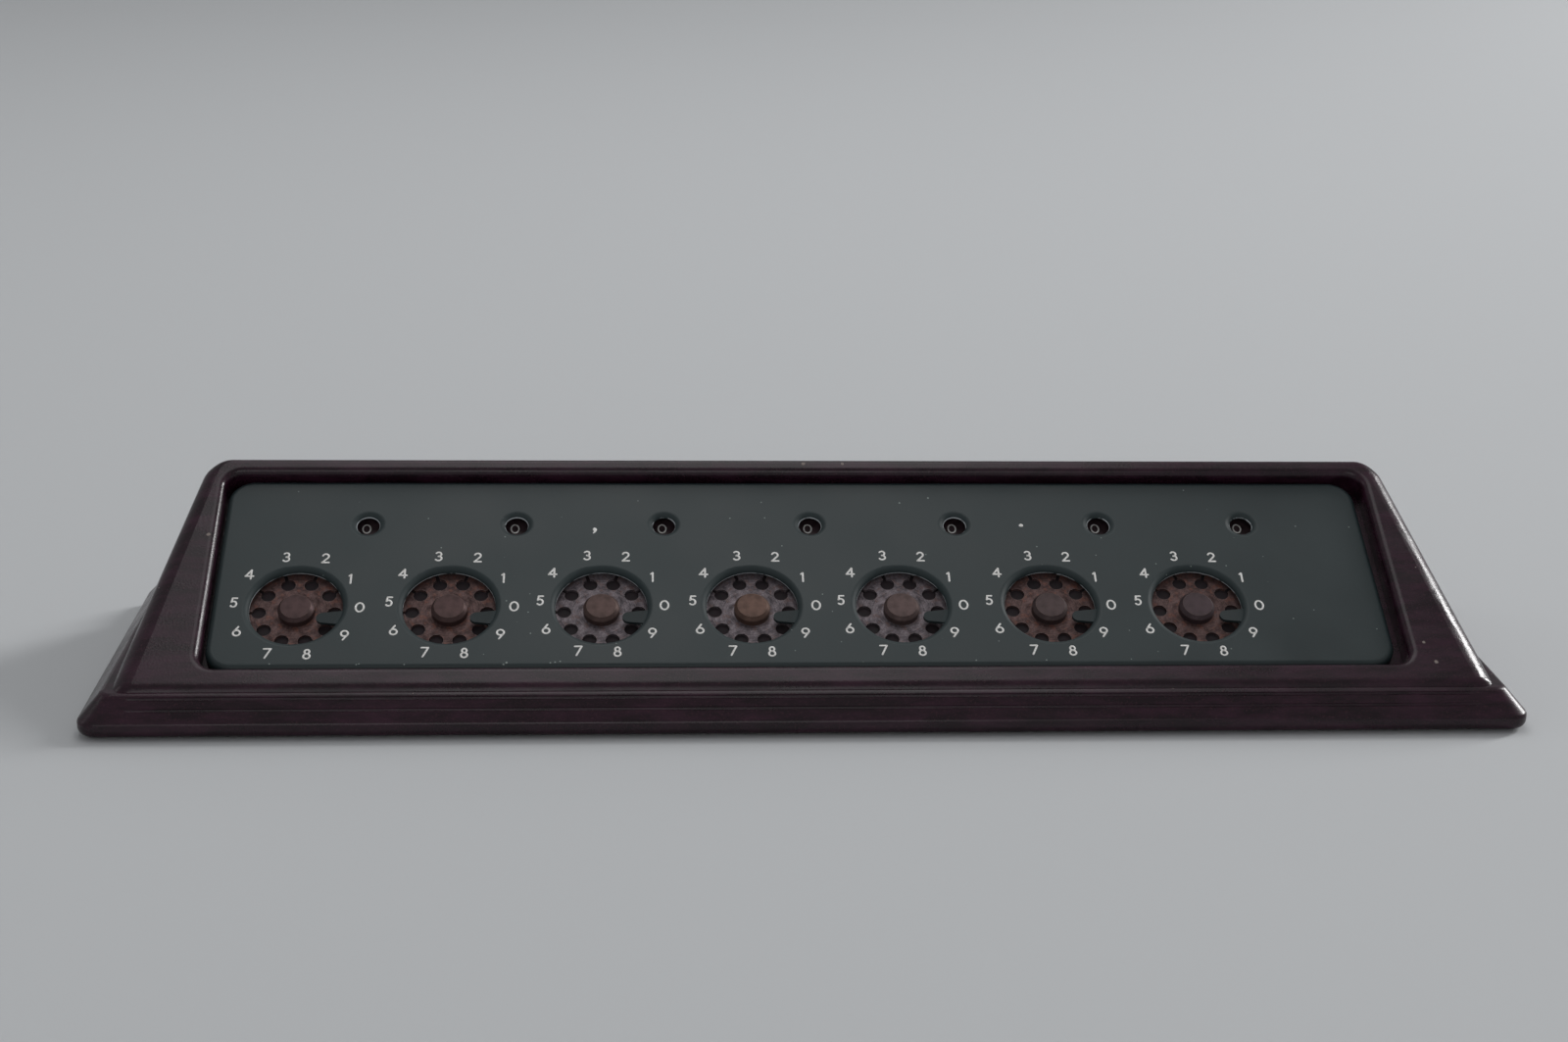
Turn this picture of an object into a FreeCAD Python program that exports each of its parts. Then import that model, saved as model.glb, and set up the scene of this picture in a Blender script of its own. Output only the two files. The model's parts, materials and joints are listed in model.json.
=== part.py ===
import FreeCAD, Part
import math
import os

# Seven-dial stylus adding machine: a long, low wedge of a moulded case with a sheet metal
# face plate sunk in its sloping top. Each column has a dial wheel that the stylus turns and a
# numeral wheel geared to it, whose digits pass under a round sight window.
# Millimetres. +X right, +Y back, +Z up. The origin is the middle of the base, on the table.

# Case, outside. The rims reach from the edge of the opening to the widest line of the case, and
# the top's two end edges are rounder in front than behind.
end_rim = 26.2
front_rim = 13.1
back_rim = 24.2
foot_proud = 0.5
widest_height = 3.5
plinth_height = 9.1
plinth_batter = 5.0
plinth_corner = 4.5
plinth_top_corner = 3.0
lower_edge_radius = 2.0
widest_edge_radius = 1.2
ledge_radius = 1.5
ledge_width = 1.0
ledge_end_width = 2.1
wall_slope = 0.4
front_corner = 4.0
back_corner = 6.0
rim_front_radius = 3.2
rim_end_radii = (6.0, 4.3)
rim_back_radius = 2.0
reed_radius = 0.45
reed_depth = 0.3
reed_heights = (6.1, 8.2)
reed_end_inset = 15.0
reed_run_out = 6.0

# Case, inside
case_wall = 3.2
plinth_wall = 4.0
plinth_cavity_height = 4.5
frame_wall = 2.5
shelf_width = 2.4
shelf_thickness = 2.2
lug_radius = 5.4
lug_inset = 7.0
boss_radius = 4.0
boss_end_inset = 12.5
boss_front_inset = 17.0
boss_back_inset = 13.0

# Sloping top: the dial row is the line of the dial centres on the face plate. The opening
# reaches so far past the outer dials, in front of the dial row and behind the sight windows.
panel_tilt = 30.0
dial_height = 21.0
recess_depth = 3.0
opening_left = 20.5
opening_right = 48.5
opening_front = 20.5
opening_back = 14.8
opening_corner = 4.0
opening_edge_radius = 1.9

# Face plate
plate_thickness = 1.0
plate_skirt = 3.4
plate_end_gap = 1.4
plate_side_gap = 0.8
plate_drift_x = -0.8
plate_drift_y = 0.6
plate_corner = 6.5
plate_edge_radius = 1.5

# Dials
dial_count = 7
dial_pitch = 36.5
dial_opening_radius = 11.1
lip_radius = 1.5
lip_gap = 1.35
stylus_positions = 10
stylus_hole_radius = 1.75
stylus_hole_circle = 9.0
neck_width = 0.9
dial_thickness = 0.7
dial_overlap = 2.1
hub_radius = 4.35
hub_flat_radius = 3.6
hub_bevel = 0.9
hub_below_face = 0.3
hub_rivet_radius = 1.5
stop_width = 3.0
stop_root_width = 4.2
stop_thickness = 0.8
stop_gap = 0.75
stop_offset = 3.2

# Sight windows and numeral wheels
numeral_shift_x = 15.3
numeral_shift_y = 16.0
numeral_circle = 11.7
numeral_rim = 3.3
numeral_thickness = 0.8
window_shift = 9.8
window_radius = 2.8
window_roll = 1.8
window_depth = 0.9

# Gears
gear_teeth = 20
gear_thickness = 1.2
gear_addendum = 0.95
gear_dedendum = 1.25
gear_backlash = 0.2
tooth_taper = 0.5
gear_gap = 0.6
gear_hub_radius = 5.0
spigot_wall = 1.0
star_tip_radius = 11.5
star_root_radius = 9.0
star_thickness = 1.0
star_tip_angle = 2.5
finger_width = 1.6
finger_clearance = 0.35
dial_pin_radius = 2.5
numeral_pin_radius = 2.0
pin_collar = 1.0
pin_collar_height = 0.2
rivet_shank = 1.6
rivet_head = 2.6
rivet_head_height = 0.7
rivet_bevel = 0.5
gear_web = 0.6

# Detent springs
spring_thickness = 0.4
spring_nose_radius = 1.2
spring_post_radius = 1.0
spring_post_collar = 0.8
spring_post_x = -12.5
spring_post_y = 15.0

# Frame of the mechanism and fastenings
mechanism_thickness = 1.2
mechanism_margin = 1.4
mechanism_corner = 4.0
post_radius = 2.2
post_front = 9.5
post_back = 15.0
screw_radius = 1.25
screw_head = 2.3
screw_head_height = 1.4
screw_slot = 0.6
screw_engagement = 4.0
bush_radius = 2.6
bush_web = 0.4
cover_thickness = 1.2
cover_recess = 1.7
foot_radius = 7.0
foot_end_inset = 33.5
foot_side_inset = 17.0

# Clearances
running_clearance = 0.05
fit_clearance = 0.02
part_gap = 0.3
stack_gap = 0.4
end_play = 0.1

# How far a cut runs past what it cuts, and how near an edge lies to the level it is sought at
cut_past = 1.0
tolerance = 0.01

# Levels below the face of the plate, along the normal of the sloping top
DIAL_TOP = -lip_radius - lip_gap
DIAL_BOTTOM = DIAL_TOP - dial_thickness
NUMERAL_TOP = DIAL_BOTTOM - stack_gap
NUMERAL_BOTTOM = NUMERAL_TOP - numeral_thickness
GEAR_TOP = NUMERAL_BOTTOM - gear_gap
GEAR_BOTTOM = GEAR_TOP - gear_thickness
STAR_TOPS = (GEAR_BOTTOM - stack_gap, GEAR_BOTTOM - 2 * stack_gap - star_thickness)
HUB_BOTTOM = STAR_TOPS[1] - star_thickness - stack_gap
GEAR_WEB = DIAL_BOTTOM - gear_web
MECHANISM_TOP = HUB_BOTTOM - end_play - pin_collar_height
MECHANISM_BOTTOM = MECHANISM_TOP - mechanism_thickness
SHELF_TOP = -plate_skirt
SHELF_BOTTOM = SHELF_TOP - shelf_thickness

# Layout on the sloping top, seen from above it, with the dial row along X
DIAL_RADIUS = dial_opening_radius + dial_overlap
WINDOW_Y = numeral_shift_y + window_shift
CENTRE_DISTANCE = math.hypot(numeral_shift_x, numeral_shift_y)
GEAR_DIRECTION = math.degrees(math.atan2(numeral_shift_y, numeral_shift_x))
CARRY_DISTANCE = math.hypot(numeral_shift_x - dial_pitch, numeral_shift_y)
CARRY_DIRECTION = math.degrees(math.atan2(numeral_shift_y, numeral_shift_x - dial_pitch))
PITCH_RADIUS = CENTRE_DISTANCE / 2
GEAR_TIP = PITCH_RADIUS + gear_addendum
STEP_ANGLE = 360.0 / stylus_positions
OPENING_LENGTH = (dial_count - 1) * dial_pitch + opening_left + opening_right
OPENING_WIDTH = opening_front + WINDOW_Y + opening_back
OPENING_X = (opening_right - opening_left) / 2
OPENING_Y = OPENING_WIDTH / 2 - opening_front

# Case
UNDERSIDE = foot_proud
PANEL_ANGLE = math.radians(panel_tilt)
CASE_LENGTH = OPENING_LENGTH + 2 * end_rim
CASE_DEPTH = front_rim + OPENING_WIDTH * math.cos(PANEL_ANGLE) + back_rim
DIAL_SETBACK = front_rim + opening_front * math.cos(PANEL_ANGLE)
PLINTH_LEAN = plinth_batter / (plinth_height - widest_height)
BODY_END_INSET = plinth_batter + ledge_end_width - wall_slope * (plinth_height - widest_height)
BODY_SIDE_INSET = BODY_END_INSET - ledge_end_width + ledge_width
BACK_HEIGHT = (dial_height + (CASE_DEPTH - DIAL_SETBACK) * math.tan(PANEL_ANGLE)
               + recess_depth / math.cos(PANEL_ANGLE))


def vec(x, y, z=0.0):
    return FreeCAD.Vector(x, y, z)


def polar(radius, angle, z=0.0):
    return vec(radius * math.cos(math.radians(angle)), radius * math.sin(math.radians(angle)), z)


def cylinder(radius, low, high, x=0.0, y=0.0):
    return Part.makeCylinder(radius, high - low, vec(x, y, low))


def box(x0, x1, y0, y1, z0, z1):
    return Part.makeBox(x1 - x0, y1 - y0, z1 - z0, vec(x0, y0, z0))


def rounded_outline(length, width, corner, x=0.0, y=0.0, z=0.0):
    """Closed wire of a rectangle with round corners, or with sharp ones where corner is zero."""
    dx = length / 2 - corner
    dy = width / 2 - corner
    if corner == 0:
        corners = [vec(x + sx * dx, y + sy * dy, z) for sx, sy in ((1, 1), (-1, 1), (-1, -1), (1, -1))]
        return Part.makePolygon(corners + corners[:1])
    edges = []
    for number, (sx, sy) in enumerate(((1, 1), (-1, 1), (-1, -1), (1, -1))):
        centre = vec(x + sx * dx, y + sy * dy, z)
        start = centre + polar(corner, 90 * number)
        middle = centre + polar(corner, 90 * number + 45)
        end = centre + polar(corner, 90 * number + 90)
        if edges:
            edges.append(Part.LineSegment(edges[-1].Vertexes[-1].Point, start).toShape())
        edges.append(Part.Arc(start, middle, end).toShape())
    edges.append(Part.LineSegment(edges[-1].Vertexes[-1].Point, edges[0].Vertexes[0].Point).toShape())
    return Part.Wire(edges)


def rounded_block(length, width, corner, low, high, x=0.0, y=0.0):
    face = Part.Face(rounded_outline(length, width, corner, x, y, low))
    return face.extrude(vec(0, 0, high - low))


def revolved(points):
    """Solid of revolution about Z from (radius, height) points."""
    outline = Part.makePolygon([vec(r, 0, z) for r, z in points + points[:1]])
    return Part.Face(outline).revolve(vec(0, 0, 0), vec(0, 0, 1), 360)


def prism(points, low, high):
    """Solid from a closed outline of points lying at z = 0."""
    outline = Part.makePolygon(points + points[:1])
    outline.translate(vec(0, 0, low))
    return Part.Face(outline).extrude(vec(0, 0, high - low))


def joined(shapes):
    return shapes[0].multiFuse(shapes[1:]).removeSplitter()


def panel_frame():
    """Place of the dial row's frame, whose origin is the middle dial, on the face plate."""
    origin = vec(-OPENING_X, DIAL_SETBACK - CASE_DEPTH / 2, UNDERSIDE + dial_height)
    return FreeCAD.Placement(origin, FreeCAD.Rotation(vec(1, 0, 0), panel_tilt))


def on_panel(shape):
    """Moves a shape from the frame of the dial row to the frame of the machine."""
    moved = shape.copy()
    moved.Placement = panel_frame().multiply(shape.Placement)
    return moved


def panel_corners(edge):
    """Ends of an edge, in the frame of the dial row."""
    inverse = panel_frame().inverse()
    return [inverse.multVec(vertex.Point) for vertex in edge.Vertexes]


def dial_x(index):
    return (index - (dial_count - 1) / 2) * dial_pitch


def numeral_x(index):
    return dial_x(index) + numeral_shift_x


def moved_to(shape, x, y):
    copy = shape.copy()
    copy.translate(vec(x, y, 0))
    return copy


def save(name, shape):
    shape.exportStep("parts/" + name + ".step")


def tapered_block(wall, corner, low, high):
    """Block whose four walls lean as the case's do, so far inside them."""
    wires = []
    for height in (low, high):
        lean = wall_slope * (height - widest_height) + wall
        length = CASE_LENGTH - 2 * (BODY_END_INSET + lean)
        width = CASE_DEPTH - 2 * (BODY_SIDE_INSET + lean)
        wires.append(rounded_outline(length, width, corner, z=UNDERSIDE + height))
    return Part.makeLoft(wires, True, True)


def level_edges(solid, height):
    """Edges of a solid that lie at one height above the underside."""
    level = UNDERSIDE + height
    return [edge for edge in solid.Edges
            if abs(edge.BoundBox.ZMin - level) + abs(edge.BoundBox.ZMax - level) < tolerance]


def plinth():
    """Foot of the case: rolled under at the table, leaning back above its widest line."""
    wires = [
        rounded_outline(CASE_LENGTH, CASE_DEPTH, plinth_corner, z=UNDERSIDE + widest_height),
        rounded_outline(CASE_LENGTH - 2 * plinth_batter, CASE_DEPTH - 2 * plinth_batter,
                        plinth_top_corner, z=UNDERSIDE + plinth_height)]
    upper = Part.makeLoft(wires, True, True)
    lower = rounded_block(CASE_LENGTH, CASE_DEPTH, plinth_corner, UNDERSIDE,
                          UNDERSIDE + widest_height)
    foot = upper.fuse(lower).removeSplitter()
    foot = foot.makeFillet(widest_edge_radius, level_edges(foot, widest_height))
    foot = foot.makeFillet(ledge_radius, level_edges(foot, plinth_height))
    return foot.makeFillet(lower_edge_radius, level_edges(foot, 0.0))


def reeds():
    """Two fine grooves along the front, which run out short of the corners."""
    across = math.cos(math.atan(PLINTH_LEAN)) * (reed_radius - reed_depth)
    up = math.sin(math.atan(PLINTH_LEAN)) * (reed_radius - reed_depth)
    reach = CASE_LENGTH / 2 - reed_end_inset
    grooves = []
    for height in reed_heights:
        y = -CASE_DEPTH / 2 + PLINTH_LEAN * (height - widest_height) - across
        z = UNDERSIDE + height + up
        grooves.append(Part.makeCylinder(reed_radius, 2 * reach, vec(-reach, y, z), vec(1, 0, 0)))
        for side in (-1, 1):
            grooves.append(Part.makeCone(reed_radius, 0, reed_run_out, vec(side * reach, y, z),
                                         vec(side, 0, 0)))
    return grooves


def above_panel(level):
    """Everything above a plane parallel to the face plate."""
    reach = CASE_LENGTH
    return on_panel(box(-reach, reach, -reach, reach, level, level + reach))


def body_edge_radii(edge):
    """Radius at the start and end of an edge: round the sloping top, upright, or in the foot."""
    front = edge.BoundBox.YMax < 0
    if min(point.z for point in panel_corners(edge)) > recess_depth - tolerance:
        if edge.BoundBox.YLength > tolerance:
            start, end = [vertex.Point.y for vertex in edge.Vertexes]
            return rim_end_radii if start < end else rim_end_radii[::-1]
        return 2 * (rim_front_radius if front else rim_back_radius,)
    if edge.BoundBox.ZLength > tolerance:
        return 2 * (front_corner if front else back_corner,)
    return 0.0, 0.0


def case_body():
    """Leaning walls cut off by the sloping top, with its edges and the corners rounded."""
    block = tapered_block(0.0, 0.0, widest_height, BACK_HEIGHT).cut(above_panel(recess_depth))
    document = FreeCAD.newDocument("body")
    base = document.addObject("Part::Feature", "block")
    base.Shape = block
    rounded = document.addObject("Part::Fillet", "rounded")
    rounded.Base = base
    edges = [(number + 1,) + body_edge_radii(edge) for number, edge in enumerate(block.Edges)]
    rounded.Edges = [edge for edge in edges if edge[1] > 0]
    document.recompute()
    body = rounded.Shape.copy()
    FreeCAD.closeDocument(document.Name)
    return body


def opening_block(inset, corner, low, high):
    """Block that fills the opening for the face plate, less an inset on each side."""
    return rounded_block(OPENING_LENGTH - 2 * inset, OPENING_WIDTH - 2 * inset, corner, low, high,
                         OPENING_X, OPENING_Y)


def lug_places():
    """Middles of the round lugs in the corners of the shelf, for the screws of the face plate."""
    dx = OPENING_LENGTH / 2 - lug_inset
    dy = OPENING_WIDTH / 2 - lug_inset
    return [(OPENING_X + sx * dx, OPENING_Y + sy * dy) for sx in (-1, 1) for sy in (-1, 1)]


def corner_cylinders(low, high, radius):
    return [cylinder(radius, low, high, x, y) for x, y in lug_places()]


def boss_places():
    """Screw bosses of the bottom cover: one in each corner and one behind the middle."""
    x = CASE_LENGTH / 2 - boss_end_inset
    front = -CASE_DEPTH / 2 + boss_front_inset
    back = CASE_DEPTH / 2 - boss_back_inset
    return [(-x, front), (x, front), (-x, back), (x, back), (0.0, back)]


def shell_cavity():
    """Hollow of the case, left solid round the opening and at the bosses."""
    inside = tapered_block(case_wall, front_corner - case_wall, -cut_past, BACK_HEIGHT)
    inside = inside.cut(above_panel(recess_depth - case_wall))
    foot = rounded_block(CASE_LENGTH - 2 * plinth_wall, CASE_DEPTH - 2 * plinth_wall,
                         plinth_corner - plinth_wall, UNDERSIDE - cut_past,
                         UNDERSIDE + plinth_cavity_height)
    frame = opening_block(-frame_wall, opening_corner + frame_wall, SHELF_BOTTOM, recess_depth)
    cover_top = UNDERSIDE + cover_recess + cover_thickness
    bosses = [cylinder(boss_radius, cover_top, CASE_DEPTH, x, y) for x, y in boss_places()]
    return inside.fuse(foot).cut(on_panel(frame)).cut(Part.makeCompound(bosses))


def case():
    """Moulded case: plinth, leaning body, hollow, and the opening with its shelf."""
    shell = case_body().fuse(plinth()).removeSplitter()
    shell = shell.cut(Part.makeCompound(reeds()))
    shell = shell.cut(shell_cavity())
    low = SHELF_BOTTOM - cut_past
    opening = opening_block(0.0, opening_corner, SHELF_TOP, recess_depth + cut_past)
    through = opening_block(shelf_width, opening_corner, low, recess_depth)
    through = through.cut(Part.makeCompound(corner_cylinders(low, recess_depth, lug_radius)))
    holes = corner_cylinders(low, recess_depth, screw_radius + part_gap)
    cuts = [on_panel(shape) for shape in [opening, through] + holes]
    pilot = UNDERSIDE + cover_recess + cover_thickness
    for x, y in boss_places():
        cuts.append(cylinder(screw_radius, 0.0, pilot + screw_engagement, x, y))
    shell = shell.cut(Part.makeCompound(cuts))
    return rounded_opening_edge(shell)


def rounded_opening_edge(shell):
    """Rounds the inner edge of the rim, which catches the light round the plate."""
    inner = []
    for edge in shell.Edges:
        points = panel_corners(edge)
        level = all(abs(point.z - recess_depth) < tolerance for point in points)
        inside = all(abs(point.x - OPENING_X) < OPENING_LENGTH / 2 + tolerance
                     and abs(point.y - OPENING_Y) < OPENING_WIDTH / 2 + tolerance for point in points)
        if level and inside:
            inner.append(edge)
    return shell.makeFillet(opening_edge_radius, inner)


def lip_and_stop(x):
    """Rolled edge of one dial opening, with the finger stop that reaches towards the hub."""
    outer = dial_opening_radius + lip_radius
    inner = lip_radius - plate_thickness
    corner = math.sqrt(0.5)
    profile = Part.Wire([
        Part.Arc(vec(outer, 0, 0), vec(outer - corner * lip_radius, 0, (corner - 1) * lip_radius),
                 vec(dial_opening_radius, 0, -lip_radius)).toShape(),
        Part.LineSegment(vec(dial_opening_radius, 0, -lip_radius),
                         vec(outer - inner, 0, -lip_radius)).toShape(),
        Part.Arc(vec(outer - inner, 0, -lip_radius),
                 vec(outer - corner * inner, 0, corner * inner - lip_radius),
                 vec(outer, 0, -plate_thickness)).toShape(),
        Part.LineSegment(vec(outer, 0, -plate_thickness), vec(outer, 0, 0)).toShape()])
    lip = Part.Face(profile).revolve(vec(0, 0, 0), vec(0, 0, 1), 360)
    low = -lip_radius
    high = low + stop_thickness
    root = dial_opening_radius + plate_thickness / 2
    root_half = stop_root_width / 2
    tip_half = stop_width / 2
    tip = hub_radius + stop_gap + tip_half
    arm = [vec(tip, -stop_offset - tip_half), vec(root, -stop_offset - root_half),
           vec(root, -stop_offset + root_half), vec(tip, -stop_offset + tip_half)]
    stop = joined([prism(arm, low, high), cylinder(tip_half, low, high, tip, -stop_offset)])
    stop = stop.common(cylinder(root, low, high))
    return [moved_to(shape, x, 0) for shape in (lip, stop)]


def window_dish():
    """What the press turned down round a sight window, an arc that meets the plate's face."""
    turn = math.acos(1 - window_depth / window_roll)
    edge = window_radius + window_roll * math.sin(turn)
    middle = vec(edge - window_roll * math.sin(turn / 2), 0, window_roll * (math.cos(turn / 2) - 1))
    foot = vec(window_radius, 0, -window_depth)
    axis = vec(0, 0, -window_depth)
    profile = Part.Wire([
        Part.Arc(vec(edge, 0, 0), middle, foot).toShape(), Part.LineSegment(foot, axis).toShape(),
        Part.LineSegment(axis, vec(0, 0, 0)).toShape(),
        Part.LineSegment(vec(0, 0, 0), vec(edge, 0, 0)).toShape()])
    return Part.Face(profile).revolve(vec(0, 0, 0), vec(0, 0, 1), 360)


def face_plate():
    """Stamped plate with a rolled skirt, seven dial openings and seven sight windows."""
    length = OPENING_LENGTH - 2 * plate_end_gap
    width = OPENING_WIDTH - 2 * plate_side_gap
    x = OPENING_X + plate_drift_x
    y = OPENING_Y + plate_drift_y
    sheet = rounded_block(length, width, plate_corner, -plate_skirt, 0.0, x, y)
    rim = [edge for edge in sheet.Edges if edge.BoundBox.ZMin > -tolerance]
    sheet = sheet.makeFillet(plate_edge_radius, rim)
    inside = rounded_block(length - 2 * plate_thickness, width - 2 * plate_thickness,
                           plate_corner - plate_thickness, -plate_skirt - cut_past, -plate_thickness,
                           x, y)
    cuts = [inside]
    lips = []
    for index in range(dial_count):
        cuts.append(cylinder(dial_opening_radius + lip_radius, -plate_skirt, cut_past, dial_x(index)))
        cuts.append(cylinder(window_radius, -plate_skirt, cut_past, numeral_x(index), WINDOW_Y))
        cuts.append(moved_to(window_dish(), numeral_x(index), WINDOW_Y))
        lips.extend(lip_and_stop(dial_x(index)))
    return joined([sheet.cut(Part.makeCompound(cuts))] + lips)


def dial_wheel():
    """Stamped wheel with ten keyhole notches for the stylus."""
    wheel = cylinder(DIAL_RADIUS, DIAL_BOTTOM, DIAL_TOP)
    cuts = [cylinder(hub_rivet_radius + fit_clearance, DIAL_BOTTOM, DIAL_TOP)]
    for number in range(stylus_positions):
        hole = cylinder(stylus_hole_radius, DIAL_BOTTOM, DIAL_TOP, stylus_hole_circle)
        neck = box(stylus_hole_circle, DIAL_RADIUS + cut_past, -neck_width / 2, neck_width / 2,
                   DIAL_BOTTOM, DIAL_TOP)
        notch = hole.fuse(neck)
        notch.rotate(vec(0, 0, 0), vec(0, 0, 1), number * STEP_ANGLE)
        cuts.append(notch)
    return wheel.cut(Part.makeCompound(cuts))


def hub_button():
    """Turned button riveted through the dial wheel into its gear."""
    top = -hub_below_face
    return revolved([
        (0.0, top), (hub_flat_radius, top), (hub_radius, top - hub_bevel), (hub_radius, DIAL_TOP),
        (hub_rivet_radius, DIAL_TOP), (hub_rivet_radius, GEAR_WEB), (0.0, GEAR_WEB)])


def gear_outline(first_tooth):
    """Straight-flanked teeth that taper from root to tip."""
    pitch = 2 * math.pi * PITCH_RADIUS / gear_teeth
    half = math.degrees((pitch / 2 - gear_backlash) / 2 / PITCH_RADIUS)
    at_tip = (1 - tooth_taper) * half
    at_root = (1 + tooth_taper) * half
    root = PITCH_RADIUS - gear_dedendum
    points = []
    for number in range(gear_teeth):
        angle = first_tooth + 360.0 * number / gear_teeth
        points.extend([polar(root, angle - at_root), polar(GEAR_TIP, angle - at_tip),
                       polar(GEAR_TIP, angle + at_tip), polar(root, angle + at_root)])
    return points


def carry_finger(level):
    """The one long tooth that passes the next column's star once a turn."""
    reach = CARRY_DISTANCE - star_tip_radius - finger_clearance
    half = finger_width / 2
    outline = [vec(0, -finger_width), vec(reach - half, -half), vec(reach, 0), vec(reach - half, half),
               vec(0, finger_width)]
    finger = prism(outline, level - star_thickness, level)
    finger.rotate(vec(0, 0, 0), vec(0, 0, 1), CARRY_DIRECTION - STEP_ANGLE / 2)
    return finger


def star_level(index):
    """Neighbouring columns carry on two levels, so that each finger passes its own column."""
    return STAR_TOPS[index % 2]


def drive_gear(index):
    """Gear under the dial wheel, with its hub and, past the first column, a carry finger."""
    gear = prism(gear_outline(GEAR_DIRECTION), GEAR_BOTTOM, GEAR_TOP)
    parts = [gear, cylinder(gear_hub_radius, HUB_BOTTOM, DIAL_BOTTOM)]
    if index > 0:
        parts.append(carry_finger(star_level(index)))
    bore = cylinder(dial_pin_radius + running_clearance, HUB_BOTTOM, GEAR_WEB)
    rivet_hole = cylinder(hub_rivet_radius + fit_clearance, HUB_BOTTOM, DIAL_BOTTOM)
    return joined(parts).cut(bore).cut(rivet_hole)


def numeral_wheel():
    """Plain disc that carries the digits."""
    radius = numeral_circle + numeral_rim
    hole = numeral_pin_radius + spigot_wall + fit_clearance
    return cylinder(radius, NUMERAL_BOTTOM, NUMERAL_TOP).cut(cylinder(hole, NUMERAL_BOTTOM, NUMERAL_TOP))


def star(level):
    """Ten-pointed star, moved on by the carry finger and held by the detent spring."""
    points = []
    for number in range(stylus_positions):
        angle = 90 + STEP_ANGLE * (number + 0.5)
        points.extend([polar(star_root_radius, angle - STEP_ANGLE / 2),
                       polar(star_tip_radius, angle - star_tip_angle),
                       polar(star_tip_radius, angle + star_tip_angle)])
    return prism(points, level - star_thickness, level)


def numeral_gear(index):
    """Gear of the numeral wheel, with its spigot, hub and star."""
    first = GEAR_DIRECTION + 180 + 180.0 / gear_teeth
    gear = prism(gear_outline(first), GEAR_BOTTOM, GEAR_TOP)
    hub = cylinder(gear_hub_radius, HUB_BOTTOM, NUMERAL_BOTTOM)
    spigot = cylinder(numeral_pin_radius + spigot_wall, NUMERAL_BOTTOM, NUMERAL_TOP)
    bore = cylinder(numeral_pin_radius + running_clearance, HUB_BOTTOM, NUMERAL_TOP)
    return joined([gear, hub, spigot, star(star_level(index + 1))]).cut(bore)


def detent_spring(index):
    """Leaf spring: an eye on its post, a straight leaf, and a nose curled round in the star."""
    level = star_level(index + 1) + stack_gap / 2
    low = level - star_thickness - stack_gap
    corner = polar(star_tip_radius, STEP_ANGLE / 2 - star_tip_angle)
    flank = math.atan2(corner.y, corner.x - star_root_radius)
    nose_y = star_root_radius + (spring_nose_radius + running_clearance) / math.sin(flank) + fit_clearance
    eye_radius = spring_post_radius + fit_clearance + spring_thickness
    leaf_start = vec(spring_post_x, spring_post_y - eye_radius + spring_thickness / 2)
    nose_top = nose_y + spring_nose_radius
    leaf_end = vec(0, nose_top - spring_thickness / 2)
    along = leaf_end - leaf_start
    across = vec(-along.y, along.x) * (spring_thickness / 2 / along.Length)
    leaf = prism([leaf_start - across, leaf_end - across, leaf_end + across, leaf_start + across],
                 low, level)
    eye = cylinder(eye_radius, low, level, spring_post_x, spring_post_y)
    nose = cylinder(spring_nose_radius, low, level, 0, nose_y)
    hollow = [cylinder(spring_post_radius + fit_clearance, low, level, spring_post_x, spring_post_y),
              cylinder(spring_nose_radius - spring_thickness, low, level, 0, nose_y),
              box(-2 * spring_nose_radius, 0, nose_y, nose_top - spring_thickness, low, level)]
    return joined([leaf, eye, nose]).cut(Part.makeCompound(hollow))


def pivot(radius, top):
    """Shouldered pin riveted into the mechanism plate, with a collar under its gear."""
    collar = radius + pin_collar
    return revolved([
        (0.0, top), (radius, top), (radius, MECHANISM_TOP + pin_collar_height),
        (collar, MECHANISM_TOP + pin_collar_height), (collar, MECHANISM_TOP),
        (rivet_shank, MECHANISM_TOP), (rivet_shank, MECHANISM_BOTTOM), (rivet_head, MECHANISM_BOTTOM),
        (rivet_head - rivet_bevel, MECHANISM_BOTTOM - rivet_head_height),
        (0.0, MECHANISM_BOTTOM - rivet_head_height)])


def spring_post(index):
    """Post of one detent spring, with a collar that holds the spring at its star."""
    top = star_level(index + 1) + stack_gap
    seat = star_level(index + 1) - star_thickness - stack_gap / 2
    collar = spring_post_radius + spring_post_collar
    return revolved([
        (0.0, top), (spring_post_radius, top), (spring_post_radius, seat), (collar, seat),
        (collar, MECHANISM_TOP), (spring_post_radius, MECHANISM_TOP),
        (spring_post_radius, MECHANISM_BOTTOM), (0.0, MECHANISM_BOTTOM)])


def post_places():
    """Spacer posts: three between the dials in front, three between the numeral wheels behind."""
    gaps = (0, dial_count // 2 - 1, dial_count - 2)
    front = [(dial_x(gap) + dial_pitch / 2, -post_front) for gap in gaps]
    back = [(numeral_x(gap) + dial_pitch / 2, numeral_shift_y + post_back) for gap in gaps]
    return front + back


def spacer_post():
    """Post from the face plate to the mechanism plate, tapped for a screw."""
    hole = cylinder(screw_radius + fit_clearance, MECHANISM_TOP, MECHANISM_TOP + screw_engagement)
    return cylinder(post_radius, MECHANISM_TOP, -plate_thickness).cut(hole)


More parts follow.
